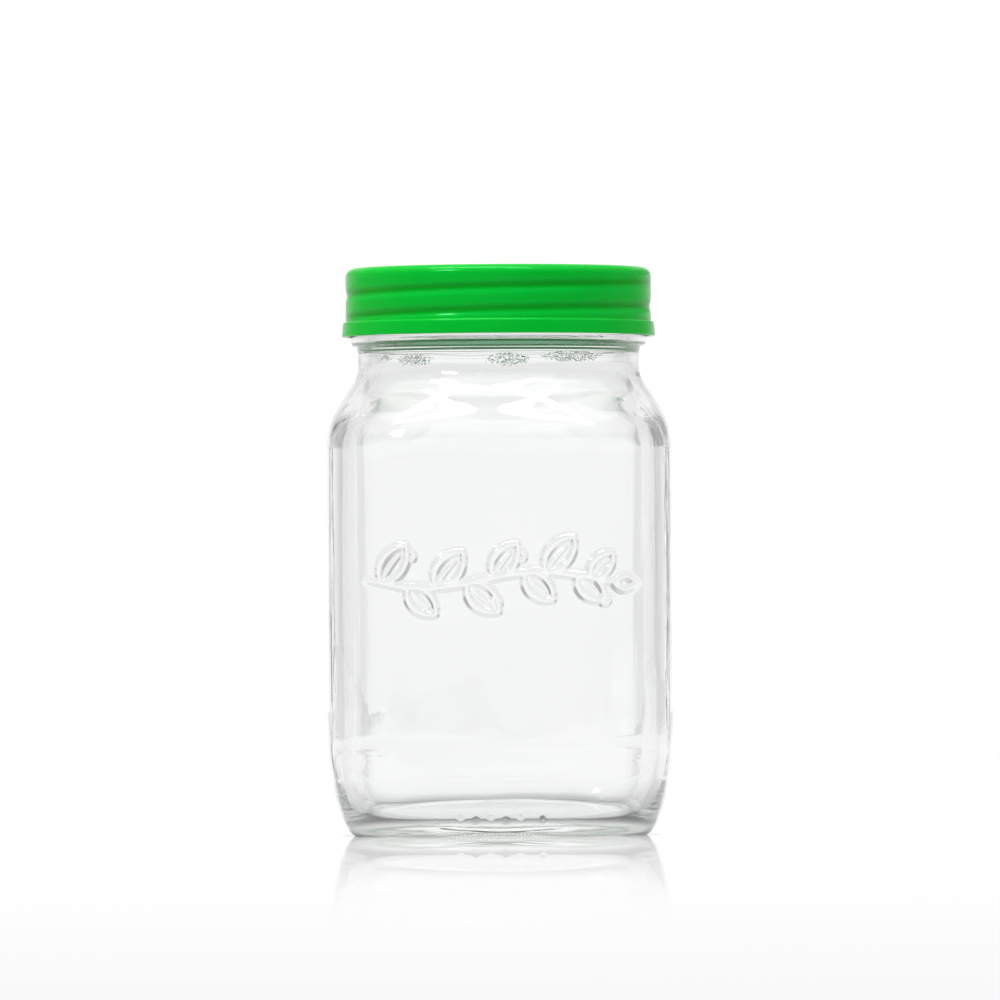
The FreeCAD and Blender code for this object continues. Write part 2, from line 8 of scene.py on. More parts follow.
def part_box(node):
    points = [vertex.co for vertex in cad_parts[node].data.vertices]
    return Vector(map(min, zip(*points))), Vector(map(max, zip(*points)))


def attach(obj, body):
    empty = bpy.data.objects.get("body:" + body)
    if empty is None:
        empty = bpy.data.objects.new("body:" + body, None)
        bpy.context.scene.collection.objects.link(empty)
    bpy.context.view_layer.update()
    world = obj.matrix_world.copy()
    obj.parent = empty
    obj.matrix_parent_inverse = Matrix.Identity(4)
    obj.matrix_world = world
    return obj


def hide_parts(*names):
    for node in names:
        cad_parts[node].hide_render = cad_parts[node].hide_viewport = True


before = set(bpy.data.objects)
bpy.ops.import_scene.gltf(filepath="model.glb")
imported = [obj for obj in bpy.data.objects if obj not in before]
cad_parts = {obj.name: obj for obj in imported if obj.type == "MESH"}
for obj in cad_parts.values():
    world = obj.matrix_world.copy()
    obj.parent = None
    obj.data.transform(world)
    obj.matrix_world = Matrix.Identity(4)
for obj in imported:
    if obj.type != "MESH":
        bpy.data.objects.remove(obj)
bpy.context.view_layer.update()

# ------------------------------------------------------------------ sizes, in millimetres
jar_lo, jar_hi = (np.array(v) * 1000.0 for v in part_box("glass_jar"))
lid_lo, lid_hi = (np.array(v) * 1000.0 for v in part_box("screw_lid"))
liner_lo, liner_hi = (np.array(v) * 1000.0 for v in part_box("lid_liner"))
HALF = 50.0
RIM = float(jar_hi[2])
LID_TOP = float(lid_hi[2])
LID_LOW = float(lid_lo[2])
SIDE, CORNER = 260.0, 28.0
NECK, BORE, RING, RING_LINE = 40.6, 37.2, 40.85, 139.3
BEAD, BEAD_LOW, BEAD_TOP = 42.65, 140.9, 144.9
FINISH, CREST, RIM_ROUND = 40.9, 42.2, 1.1
PITCH = 6.6
JAR_TURNED, JAR_Z, JAR_TURNS = 122.0, 150.44, 1.2
LID_R, LID_IN, LID_UNDER, LID_ROUND = 44.2, 42.9, 162.6, 2.6
LID_TURNED, LID_Z, LID_TURNS, LID_CREST = 189.0, 149.82, 1.35, 41.45
PANEL_R, PANEL_Z = 37.0, 163.5
LIP_TOP, LIP_R_TOP, LIP_R_LOW, LIP_IN = 148.3, 44.95, 45.35, 43.9
FLOOR_EDGE, FLOOR_CROWN, FLOOR_R = 4.1, 7.3, 36.0
PUSH_R, PUSH_H = 37.5, 3.9
ARCH_HALF, ARCH_H = 17.0, 0.45

N = 256  # columns of the plain rows
RELIEF_STEP = 0.48
INNER_WAVE = 0.11
RELIEF = 1.5
BACKDROP, AROUND, SIDES, RIGHT_DIM, LEFT_DIM, FRONT_DIM, CEILING = 1.035, 0.87, 0.45, 0.5, 0.66, 0.38, 0.98
STIPPLE = [(-23.0, 136.6, 6.5, 2.6, 0.75), (2.5, 136.6, 7.5, 2.3, 1.0), (20.5, 137.6, 9.5, 2.0, 1.0), (-33.0, 137.5, 4.0, 1.6, 0.6)]
DOTS = [(-11.5, 5.6), (-7.2, 4.7), (-2.9, 5.6), (1.4, 4.7), (5.7, 5.6), (12.0, 5.1)]

# ------------------------------------------------------------------ mathematics


def steady_slopes(x, y):
    """Slopes for a cubic through (x, y) that never overshoots its points."""
    h, d = np.diff(x), np.diff(y) / np.diff(x)
    m = np.zeros(len(x))
    for i in range(1, len(x) - 1):
        if d[i - 1] * d[i] > 0:
            w1, w2 = 2 * h[i] + h[i - 1], h[i] + 2 * h[i - 1]
            m[i] = (w1 + w2) / (w1 / d[i - 1] + w2 / d[i])
    m[0], m[-1] = d[0], d[-1]
    return m


def curve_through(points, soften=0.9, count=6000):
    """Dense smooth path through (half width, height, roundness) points: no overshoot, and eased at the points."""
    p = np.asarray(points, float)
    s = np.concatenate([[0], np.cumsum(np.hypot(np.diff(p[:, 0]), np.diff(p[:, 1])))])
    q = np.linspace(0, s[-1], count)
    i = np.clip(np.searchsorted(s, q, side="right") - 1, 0, len(s) - 2)
    h = s[i + 1] - s[i]
    u = (q - s[i]) / h
    out = []
    for k in range(p.shape[1]):
        y, m = p[:, k], steady_slopes(s, p[:, k])
        out.append(
            (1 + 2 * u) * (1 - u) ** 2 * y[i] + u * (1 - u) ** 2 * h * m[i]
            + u * u * (3 - 2 * u) * y[i + 1] + u * u * (u - 1) * h * m[i + 1]
        )
    path = np.stack(out, 1)
    step = s[-1] / (count - 1)
    reach = int(3 * soften / step)
    kernel = np.exp(-0.5 * (np.arange(-reach, reach + 1) * step / soften) ** 2)
    kernel /= kernel.sum()
    full = np.concatenate([2 * path[0] - path[reach:0:-1], path, 2 * path[-1] - path[-2 : -reach - 2 : -1]])
    return np.stack([np.convolve(full[:, k], kernel, "valid") for k in range(path.shape[1])], 1)


def smooth(a, b, x):
    t = np.clip((np.asarray(x, float) - a) / (b - a), 0.0, 1.0)
    return t * t * (3 - 2 * t)


GRID = 2048
GRID_T = np.arange(GRID) / GRID * 2 * math.pi
_k = np.fft.fftfreq(GRID, 1.0 / GRID)
_SOFTEN = np.exp(-0.5 * (_k * math.radians(1.6)) ** 2)


def soft_radius(half, side, corner):
    """Distance from the axis to a soft square, by direction, with its curvature eased at the joins."""
    k = side - half
    c = (-2 * k + math.sqrt(4 * k * k - 8 * (k * k - (side - corner) ** 2))) / 4
    a = math.atan2(c, c + k)
    tj = math.atan2(side * math.sin(a), -k + side * math.cos(a))
    t = np.abs((GRID_T + math.pi / 4) % (math.pi / 2) - math.pi / 4)
    r1 = -k * np.cos(t) + np.sqrt(side**2 - (k * np.sin(t)) ** 2)
    mu = c * (np.cos(t) + np.sin(t))
    r2 = mu + np.sqrt(np.maximum(corner**2 - 2 * c * c + mu**2, 0))
    r = np.where(t <= tj, r1, r2)
    r = np.real(np.fft.ifft(np.fft.fft(r) * _SOFTEN))
    return np.minimum(r * (half / r[0]), 1e6)


def section(half, t, inside):
    """Radius by direction at a height: t is 0 for the body's soft square and 1 for a circle."""
    if t >= 0.999:
        return np.full(GRID, float(half))
    shrink = HALF - half
    corner = CORNER - shrink * (1.0 if inside else 0.55)
    side = SIDE - (shrink if inside else 0.0)
    if t > 0:
        side = 1.0 / ((1 - t) / side + t / (half + 0.02))
        corner = (1 - t) * corner + t * (half - 0.02)
    return soft_radius(half, side, corner)


def read(grid, theta):
    u = (np.asarray(theta) / (2 * math.pi) * GRID) % GRID
    i = np.floor(u).astype(int) % GRID
    f = u - np.floor(u)
    return grid[i] * (1 - f) + grid[(i + 1) % GRID] * f


# ------------------------------------------------------------------ where the columns stand
# Columns stand at even distances round the body. Rows that carry relief add columns on the front.


def even_columns():
    r = section(HALF, 0.0, False)
    xy = np.stack([r * np.cos(GRID_T), r * np.sin(GRID_T)], 1)
    seg = np.hypot(*(np.roll(xy, -1, 0) - xy).T)
    c = np.concatenate([[0], np.cumsum(seg)]) / seg.sum()
    t = np.concatenate([GRID_T, [2 * math.pi]])
    return np.interp((np.arange(N) + 0.5) / N, c, t)


EVEN = even_columns()


def finer(theta, times):
    """The same columns with more between each pair."""
    nxt = np.append(theta[1:], theta[0] + 2 * math.pi)
    parts = [theta + (nxt - theta) * k / times for k in range(times)]
    return np.stack(parts, 1).ravel()


def finer_front(theta, width, times):
    """More columns only where the front face is nearer its middle than width."""
    out = []
    nxt = np.append(theta[1:], theta[0] + 2 * math.pi)
    for u, v in zip(theta, nxt):
        out.append(u)
        m = (u + v) / 2
        if math.sin(m) < 0 and abs(HALF / math.tan(m)) < width:
            cu, cv = 1 / math.tan(u), 1 / math.tan(v)
            for k in range(1, times):
                x = cu + (cv - cu) * k / times
                out.append(math.atan2(-1.0, -x) % (2 * math.pi))
    return np.array(out)


FRONT_4 = finer_front(EVEN, 41.5, 4)
HEEL_3 = finer_front(EVEN, 19.0, 3)
EVEN_2, EVEN_4 = finer(EVEN, 2), finer(EVEN, 4)

# ------------------------------------------------------------------ mesh from rows


def stitch(name, rows):
    """One closed mesh from loops of points, each loop running the same way round the axis."""
    start, verts, faces = [], [], []
    k = 0
    for r in rows:
        start.append(k)
        verts.append(r)
        k += len(r)
    turn = 2 * math.pi
    for a in range(len(rows) - 1):
        b = a + 1
        na, nb = len(rows[a]), len(rows[b])
        sa, sb = start[a], start[b]
        if na == 1:
            i = np.arange(nb)
            faces += np.stack([np.full(nb, sa), sb + (i + 1) % nb, sb + i], 1).tolist()
            continue
        if nb == 1:
            i = np.arange(na)
            faces += np.stack([sa + i, sa + (i + 1) % na, np.full(na, sb)], 1).tolist()
            continue
        if na == nb:
            i = np.arange(na)
            j = (i + 1) % na
            faces += np.stack([sa + i, sa + j, sb + j, sb + i], 1).tolist()
            continue
        # Loops with different columns are joined by triangles, in the order of direction.
        ta = np.unwrap(np.arctan2(rows[a][:, 1], rows[a][:, 0]))
        tb = np.unwrap(np.arctan2(rows[b][:, 1], rows[b][:, 0]))
        tb = tb + turn * np.round((ta[0] - tb[0]) / turn)
        ta, tb = np.append(ta, ta[0] + turn), np.append(tb, tb[0] + turn)
        i = j = 0
        while i < na or j < nb:
            if j >= nb or (i < na and ta[i + 1] <= tb[j + 1] + 1e-9):
                faces.append([sa + i, sa + (i + 1) % na, sb + j % nb])
                i += 1
            else:
                faces.append([sa + i % na, sb + (j + 1) % nb, sb + j])
                j += 1
    co = np.concatenate(verts) * 0.001
    me = bpy.data.meshes.new(name)
    me.from_pydata(co.tolist(), [], faces)
    me.validate()
    me.shade_smooth()
    me.update()
    ob = bpy.data.objects.new(name, me)
    bpy.context.scene.collection.objects.link(ob)
    return ob


def ring(radius, z, theta):
    """A loop of points; radius and z are numbers or one value for each direction."""
    th = np.asarray(theta)
    r = np.broadcast_to(np.asarray(radius, float), th.shape)
    zz = np.broadcast_to(np.asarray(z, float), th.shape)
    return np.stack([r * np.cos(th), r * np.sin(th), zz], 1)


def pole(z):
    return np.array([[0.0, 0.0, z]])


def along(points, spacing):
    """Points at about that spacing along a polyline, keeping its corners."""
    out = [np.array(points[0], float)]
    for p, q in zip(points[:-1], points[1:]):
        p, q = np.array(p, float), np.array(q, float)
        n = max(1, int(math.ceil(np.linalg.norm(q - p) / spacing)))
        for i in range(1, n + 1):
            out.append(p + (q - p) * i / n)
    return out


def arc(cx, cz, r, a0, a1, n):
    a = np.radians(np.linspace(a0, a1, n + 1))
    return [(cx + r * math.cos(t), cz + r * math.sin(t)) for t in a]


# ------------------------------------------------------------------ relief on the front
# A plain sprig: a wavy stem with paired leaves and a few berries.


def bezier(p0, p1, p2, p3, n=14):
    t = np.linspace(0, 1, n)[:, None]
    p0, p1, p2, p3 = (np.array(p, float) for p in (p0, p1, p2, p3))
    return (1 - t) ** 3 * p0 + 3 * (1 - t) ** 2 * t * p1 + 3 * (1 - t) * t**2 * p2 + t**3 * p3


def sprig():
    """Strokes as (points, half width at each point, height)."""
    strokes = []
    x = np.linspace(-37.5, 34.0, 60)

    def stem(px):
        return np.array([px, 73.4 + 2.2 * math.sin((px + 5.0) / 10.5)])

    grow = np.clip((x + 38) / 10, 0, 1) * np.clip((36.5 - x) / 14, 0, 1)
    strokes.append((np.array([stem(v) for v in x]), 0.6 + 0.5 * grow, 0.62))

    def leaf(px, up, length, lean, belly):
        base = stem(px)
        a = math.radians(lean) * up
        d = np.array([math.cos(a), math.sin(a)])
        n = np.array([-d[1], d[0]])
        tip = base + d * length
        swell = np.sin(np.linspace(0, math.pi, 20))
        for side in (1, -1):
            pts = bezier(base + d * 0.4, base + d * length * 0.22 + n * belly * side, base + d * length * 0.74 + n * belly * 0.9 * side, tip, 20)
            strokes.append((pts, 0.66 + (0.5 if side == up else 0.24) * swell, 0.66))
        mid = bezier(base, base + d * length * 0.3 + n * 0.5 * up, base + d * length * 0.5 + n * 0.3 * up, base + d * length * 0.72, 12)
        strokes.append((mid, np.linspace(0.75, 0.5, 12), 0.36))

    for px, up, length, lean, belly in (
        (-34.0, 1, 13.0, 56, 4.6),
        (-26.5, -1, 11.5, 44, 4.2),
        (-18.5, 1, 13.0, 52, 4.8),
        (-9.5, -1, 12.5, 42, 4.6),
        (-2.0, 1, 12.0, 54, 4.4),
        (7.0, -1, 11.5, 44, 4.2),
        (13.0, 1, 13.0, 50, 4.6),
        (22.0, -1, 10.5, 42, 3.9),
        (26.0, 1, 9.5, 48, 3.5),
    ):
        leaf(px, up, length, lean, belly)
    tip = stem(34.0)
    for side in (1, -1):
        strokes.append((bezier(tip - (1.5, 0), tip + (0.5, 2.6 * side), tip + (3.2, 2.4 * side), tip + (4.8, 0.2), 14), np.full(14, 0.74), 0.62))
    for bx, bz in ((-25.6, 80.2), (-1.0, 67.0), (30.0, 67.5), (6.0, 80.0)):
        a = np.linspace(0, 2 * math.pi, 19)
        strokes.append((np.stack([bx + 1.3 * np.cos(a), bz + 1.3 * np.sin(a)], 1), np.full(19, 0.62), 0.5))
    return strokes


def stroke_height(x, z, strokes):
    """Height of the relief at points (x, z), in mm. Strokes have rounded tops and steep flanks."""
    h = np.zeros(len(x))
    p = np.stack([x, z], 1)
    for pts, w, top in strokes:
        lo, hi = pts.min(0) - 2.2, pts.max(0) + 2.2
        near = np.all((p > lo) & (p < hi), 1)
        if not near.any():
            continue
        q = p[near]
        best = np.zeros(len(q))
        for i in range(len(pts) - 1):
            a, b = pts[i], pts[i + 1]
            ab = b - a
            t = np.clip(((q - a) @ ab) / max(ab @ ab, 1e-9), 0, 1)
            d = np.linalg.norm(q - (a + t[:, None] * ab), axis=1)
            ww = w[i] + (w[i + 1] - w[i]) * t
            s = np.clip(1.35 * (1 - d / (ww * 1.7)), 0, 1)
            best = np.maximum(best, top * RELIEF * s * s * (3 - 2 * s))
        h[near] = np.maximum(h[near], best)
    return h


# ------------------------------------------------------------------ threads


def helix_height(theta, z, turned, z0, turns, fade):
    """How far a point is from the middle of a helical ridge, up the jar, and the ridge's strength there."""
    turn = 2 * math.pi
    best = np.full(np.shape(theta), 1e9)
    power = np.zeros(np.shape(theta))
    base = (np.asarray(theta) - math.radians(turned)) % turn
    for k in range(int(turns) + 2):
        a = base + k * turn
        end = turns * turn
        s = smooth(0, math.radians(fade), a) * smooth(0, math.radians(fade), end - a)
        zc = z0 + PITCH * a / turn
        d = np.abs(z - zc)
        take = (s > 0) & (d < np.abs(best))
        best = np.where(take, z - zc, best)
        power = np.where(take, s, power)
    return best, power


def ridge(d, root, tip):
    """Cross-section of a thread, 1 at its crest: flat tip, sloping flanks, small fillets."""
    t = np.clip((root / 2 - np.abs(d)) / (root / 2 - tip / 2), 0, 1)
    return t * t * (3 - 2 * t) * 0.45 + t * 0.55


def waves(theta, z, seed):
    """Slow unevenness of blown glass, in mm, about one either way."""
    r = np.random.RandomState(seed)
    out = np.zeros(np.broadcast(theta, z).shape)
    for n, wl, a in ((2, 90, 0.5), (3, 60, 0.45), (5, 47, 0.35), (7, 38, 0.28), (9, 70, 0.22), (13, 55, 0.16), (17, 120, 0.12), (23, 160, 0.09), (31, 240, 0.06)):
        p, q = r.uniform(0, 2 * math.pi, 2)
        out = out + a * np.sin(n * theta + p + z / (1.7 * wl) * 2 * math.pi * (1 if n % 2 else -1)) * (0.7 + 0.3 * np.sin(z / wl * 3.3 + q))
    return out


# ------------------------------------------------------------------ the glass jar
HEEL = [(42.3, 0.0), (43.45, 0.5), (44.4, 1.8), (45.42, 4.0), (46.65, 7.4), (47.8, 11.6), (48.72, 15.9), (49.5, 20.2), (49.98, 24.6)]
SHOULDER = [
    (50.0, 112.4, 0.0), (49.98, 113.3, 0.003), (49.7, 115.5, 0.03), (49.05, 118.3, 0.12), (47.85, 121.4, 0.27), (46.25, 124.6, 0.47),
    (44.35, 127.6, 0.67), (42.4, 130.2, 0.84), (41.3, 132.2, 0.93), (40.72, 134.2, 0.98), (40.6, 136.6, 1.0),
]
SHOULDER_IN = [
    (46.2, 112.4, 0.0), (45.6, 115.3, 0.03), (44.4, 118.3, 0.12), (42.55, 121.4, 0.30), (40.45, 124.6, 0.52), (38.8, 127.6, 0.74),
    (37.8, 130.2, 0.90), (37.3, 132.6, 0.98), (37.2, 136.6, 1.0),
]
HEEL_IN = [(46.2, 24.6), (45.75, 20.5), (45.05, 16.4), (44.1, 12.6), (42.95, 9.5), (41.6, 7.1), (40.0, 5.4), (38.2, 4.4), (36.5, 4.1)]


def arch_lift(theta, radius):
    """How far the foot stands off the table at the middle of each side."""
    x, y = radius * np.cos(theta), radius * np.sin(theta)
    ax = ARCH_H * np.clip(1 - (x / ARCH_HALF) ** 2, 0, 1)
    ay = ARCH_H * np.clip(1 - (y / ARCH_HALF) ** 2, 0, 1)
    return np.maximum(ax, ay)


def jar_rows():
    rows = [pole(PUSH_H)]
    th = EVEN
    cap = (PUSH_R**2 + PUSH_H**2) / (2 * PUSH_H)

    def dome(r):
        return PUSH_H - cap + math.sqrt(cap * cap - r * r)

    for r in (1.2, 3.5, 6.5, 10, 14, 18, 22, 26, 29.5, 32.5, 34.8):
        rows.append(ring(r, dome(r), th))
    foot = section(HEEL[0][0], 0.0, False)

    # The ring it stands on carries a fine knurl, so these rows have four times the columns.
    rows.append(ring(36.4, dome(36.4), EVEN_2))
    tooth = np.tile([0.0, 0.6, 1.0, 0.6], N)
    th4 = EVEN_4
    for w in (0.0, 0.15, 0.3, 0.55, 0.8, 1.0):
        r = (1 - w) * 37.5 + w * read(foot, th4)
        lift = arch_lift(th4, r) * smooth(0.0, 0.35, w)
        depth = 0.34 * smooth(0.05, 0.24, w)
        rows.append(ring(r, lift + depth * tooth, th4))
    # The heel, straight side and shoulder, as one smooth curve.
    pts = [(h, z, 0.0) for h, z in HEEL] + [(50.0, 34.0, 0.0), (50.0, 50.0, 0.0), (50.0, 68.0, 0.0), (50.0, 86.0, 0.0), (50.0, 101.0, 0.0)] + SHOULDER
    path = curve_through(pts)
    z_all = np.maximum.accumulate(path[:, 1])

    def at_height(z):
        i = int(np.clip(np.searchsorted(z_all, z), 1, len(z_all) - 1))
        f = (z - z_all[i - 1]) / max(z_all[i] - z_all[i - 1], 1e-9)
        return path[i - 1] * (1 - f) + path[i] * f

    heights = [(0.14, "knurl"), (0.34, "knurl"), (0.62, "double"), (1.0, "heel")]
    heights += [(z, "heel") for z in np.arange(1.5, 8.7, 0.42)]
    heights += [(z, "even") for z in np.concatenate([np.arange(9.6, 25, 1.25), np.arange(27, 60, 3.4)])]
    heights += [(z, "relief") for z in np.arange(60.6, 87.8, RELIEF_STEP)]
    heights += [(z, "even") for z in np.concatenate([np.arange(90, 111, 3.0), np.arange(112.2, 134.0, 0.85), [134.8, 135.7, 136.6]])]
    columns = {"knurl": EVEN_4, "double": EVEN_2, "heel": HEEL_3, "even": EVEN, "relief": FRONT_4}
    strokes = sprig()
    for z, kind in heights:
        h, zz, t = at_height(z)
        h = min(h, 50.0)
        th = columns[kind]
        r = read(section(h, float(np.clip(t, 0, 1)), False), th)
        lift = arch_lift(th, r) * (1 - smooth(0, 4.5, z))
        r = r + 0.045 * waves(th, z, 5) * smooth(6, 20, z) * (1 - smooth(124, 134, z))
        p = ring(r, z + lift, th)
        if kind == "knurl":
            p[:, 2] += 0.30 * (1 - z / 0.6) * tooth
        if kind == "relief":
            front = (p[:, 1] < 0) & (np.abs(p[:, 0]) < 42)
            p[front, 1] -= stroke_height(p[front, 0], p[front, 2], strokes)
        if kind == "heel":
            # A row of plain dots low on the front, as a maker's cavity mark.
            front = (p[:, 1] < 0) & (np.abs(p[:, 0]) < 18)
            x, zf = p[front, 0], p[front, 2]
            hgt = np.zeros(len(x))
            for cx, cz in DOTS:
                d = np.hypot(x - cx, (zf - cz) * 0.9)
                hgt = np.maximum(hgt, 0.26 * (1 - smooth(0.3, 1.3, d)))
            p[front, 1] -= hgt
        rows.append(p)
    th = EVEN
    # Neck, parting line, transfer bead, threaded finish and rim.
    outline = along([(NECK, 137.6), (NECK, 139.5)], 0.7)
    outline += [np.array(v) for v in ((40.62, 139.64), (40.72, 139.82), (40.83, 139.95), (RING, 140.2), (RING, 140.55), (40.9, 140.85), (41.1, 141.08), (41.45, 141.3))]
    outline += [np.array(v) for v in arc(BEAD - 0.95, BEAD_LOW + 1.38, 0.95, -80, 0, 6)]
    outline += along([(BEAD, 142.6), (BEAD, 143.5)], 0.6)
    outline += [np.array(v) for v in arc(BEAD - 0.95, BEAD_TOP - 1.13, 0.95, 10, 80, 5)]
    outline += [np.array(v) for v in ((41.35, 144.98), (41.05, 145.14), (FINISH, 145.5))]
    for r, z in outline:
        rows.append(ring(r, z, th))
    for z in np.arange(146.0, RIM - RIM_ROUND - 0.1, 0.56):
        d, power = helix_height(th, z, JAR_TURNED, JAR_Z, JAR_TURNS, 16)
        rows.append(ring(FINISH + (CREST - FINISH) * ridge(d, 2.8, 1.1) * power, z, th))
    for r, z in arc(FINISH - RIM_ROUND, RIM - RIM_ROUND, RIM_ROUND, 0, 90, 6):
        rows.append(ring(r, z, th))
    for r, z in arc(BORE + RIM_ROUND, RIM - RIM_ROUND, RIM_ROUND, 90, 180, 6):
        rows.append(ring(r, z, th))
    for z in np.arange(RIM - RIM_ROUND - 2.0, 137.5, -3.3):
        rows.append(ring(BORE + 0.04 * waves(th, z, 9) * smooth(158, 150, z), z, th))
    # The hollow.
    pts = [(h, z, t) for h, z, t in SHOULDER_IN[::-1]] + [(46.2, 101.0, 0.0), (46.2, 84.0, 0.0), (46.2, 67.0, 0.0), (46.2, 50.0, 0.0), (46.2, 36.0, 0.0)]
    pts += [(h, z, 0.0) for h, z in HEEL_IN]
    path = curve_through(pts)
    z_down = path[:, 1]
    used = []
    for z in np.concatenate([np.arange(136.4, 112, -1.05), np.arange(111, 92, -3.0), np.arange(90, 26, -3.2), np.arange(24.5, 8.0, -1.3)]):
        used.append(path[int(np.argmax(z_down <= z))])
    tail = path[int(np.argmax(z_down <= 8.0)):]
    dist = np.concatenate([[0], np.cumsum(np.hypot(np.diff(tail[:, 0]), np.diff(tail[:, 1])))])
    for s in np.arange(0.0, dist[-1] - 0.3, 0.7):
        used.append(tail[int(np.searchsorted(dist, s))])
    used.append(tail[-1])
    for h, z, t in used:
        h = min(h, 46.2)
        r = read(section(h, float(np.clip(t, 0, 1)), True), th)
        amp = INNER_WAVE * smooth(4.0, 16.0, z) * (1 - smooth(128, 137, z))
        rows.append(ring(r + amp * waves(th, z, 21), z, th))
    h = FLOOR_CROWN - FLOOR_EDGE
    cap2 = (FLOOR_R**2 + h * h) / (2 * h)
    for r in (35.4, 34.2, 32.5, 30.0, 27.0, 23.5, 20.0, 16.5, 13.0, 9.5, 6.0, 3.2, 1.2):
        w = float(smooth(35.9, 29.0, r))
        z = FLOOR_CROWN - cap2 + math.sqrt(cap2 * cap2 - r * r)
        rr = (1 - w) * read(section(r, 0.0, True), th) + w * r if r > 28 else r
        rows.append(ring(rr, z + 0.03 * waves(th, z * 5, 3), th))
    rows.append(pole(FLOOR_CROWN))
    return rows


jar = stitch("jar_glass", jar_rows())
print("jar triangles", sum(len(p.vertices) - 2 for p in jar.data.polygons))

# ------------------------------------------------------------------ the screw lid


def lid_rows():
    th = np.arange(288) / 288 * 2 * math.pi

    def outer(r, z, groove=True):
        if not groove:
            return ring(r, z, th)
        d, power = helix_height(th, z, LID_TURNED, LID_Z - 0.35, LID_TURNS, 24)
        dip = np.exp(-((np.abs(d) / 1.35) ** 2.4)) * power
        hold = smooth(LIP_TOP + 0.15, LIP_TOP + 1.6, z) * (1 - smooth(LID_TOP - 3.4, LID_TOP - 1.4, z))
        return ring(r - 0.38 * dip * hold, z, th)

    rows = [pole(PANEL_Z)]
    for r in (3, 9, 16, 23, 29, 33, 35.4, 36.4, 36.85):
        rows.append(outer(r, PANEL_Z + 0.0, False))
    for r, z in ((36.98, PANEL_Z + 0.03), (37.1, PANEL_Z + 0.12), (37.22, PANEL_Z + 0.26), (37.36, PANEL_Z + 0.36), (37.55, LID_TOP), (38.6, LID_TOP), (40.2, LID_TOP)):
        rows.append(outer(r, z, False))
    for r, z in arc(LID_R - LID_ROUND, LID_TOP - LID_ROUND, LID_ROUND, 90, 0, 10):
        rows.append(outer(r, z))
    for z in np.arange(LID_TOP - LID_ROUND - 0.3, LIP_TOP + 0.45, -0.3):
        rows.append(outer(LID_R, z))
    for r, z in arc(LID_R + 0.22, LIP_TOP + 0.22, 0.22, 180, 270, 4):
        rows.append(outer(r, z, False))
    for r, z in arc(LIP_R_TOP - 0.5, LIP_TOP - 0.6, 0.6, 90, 0, 7):
        rows.append(outer(min(r, LIP_R_TOP + 0.1), z, False))
    for i in range(1, 6):
        f = i / 6
        rows.append(outer(LIP_R_TOP + 0.1 + (LIP_R_LOW - LIP_R_TOP - 0.1) * f, LIP_TOP - 0.6 + (LID_LOW + 0.25 - LIP_TOP + 0.6) * f, False))
    for r, z in arc(LIP_R_LOW - 0.25, LID_LOW + 0.25, 0.25, 0, -90, 3):
        rows.append(outer(r, z, False))
    rows.append(outer(44.6, LID_LOW, False))
    for r, z in arc(LIP_IN + 0.3, LID_LOW + 0.3, 0.3, 270, 180, 3):
        rows.append(outer(r, z, False))
    for r, z in ((LIP_IN, 145.4), (LIP_IN, 146.5), (LIP_IN, 147.2), (43.82, 147.5), (43.5, 147.8), (43.18, 148.1), (42.97, 148.35), (LID_IN, 148.6)):
        rows.append(outer(r, z, False))
    for z in np.arange(148.9, LID_UNDER - 0.75, 0.3):
        d, power = helix_height(th, z, LID_TURNED, LID_Z, LID_TURNS, 12)
        hold = smooth(148.5, 149.3, z)
        rows.append(ring(LID_IN - (LID_IN - LID_CREST) * ridge(d, 2.3, 1.0) * power * hold, z, th))
    for r, z in arc(LID_IN - 0.7, LID_UNDER - 0.7, 0.7, 0, 90, 4):
        rows.append(outer(r, z, False))
    for r in (40, 34, 26, 18, 10, 4):
        rows.append(outer(r, LID_UNDER, False))
    rows.append(pole(LID_UNDER))
    # From the top down and back up inside: the loops are turned over so that faces look outward.
    return [np.concatenate([r[:1], r[:0:-1]]) if len(r) > 1 else r for r in rows]


lid = stitch("lid_moulding", lid_rows())

# ------------------------------------------------------------------ the liner


def liner_rows():
    th = np.arange(192) / 192 * 2 * math.pi
    lo, hi, r1 = float(liner_lo[2]), float(liner_hi[2]), 42.15

    def under(r):
        # The rim has pressed a shallow ring into the foam beside the land that it rests on.
        groove = 0.09 * (np.exp(-(((r - 37.4) / 0.35) ** 2)) + np.exp(-(((r - 40.8) / 0.35) ** 2)))
        return lo + groove

    rows = [pole(lo)]
    for r in list(np.arange(3, 36, 4.0)) + list(np.arange(36.2, 41.7, 0.22)) + [41.9]:
        rows.append(ring(r, under(r), th))
    for r, z in ((42.05, lo + 0.05), (r1, lo + 0.16), (r1, lo + 0.5), (r1, hi - 0.16), (42.05, hi - 0.05), (41.9, hi)):
        rows.append(ring(r, z, th))
    for r in (38, 30, 20, 10, 3):
        rows.append(ring(r, hi, th))
    rows.append(pole(hi))
    return rows


liner = stitch("liner_disc", liner_rows())

# ------------------------------------------------------------------ materials


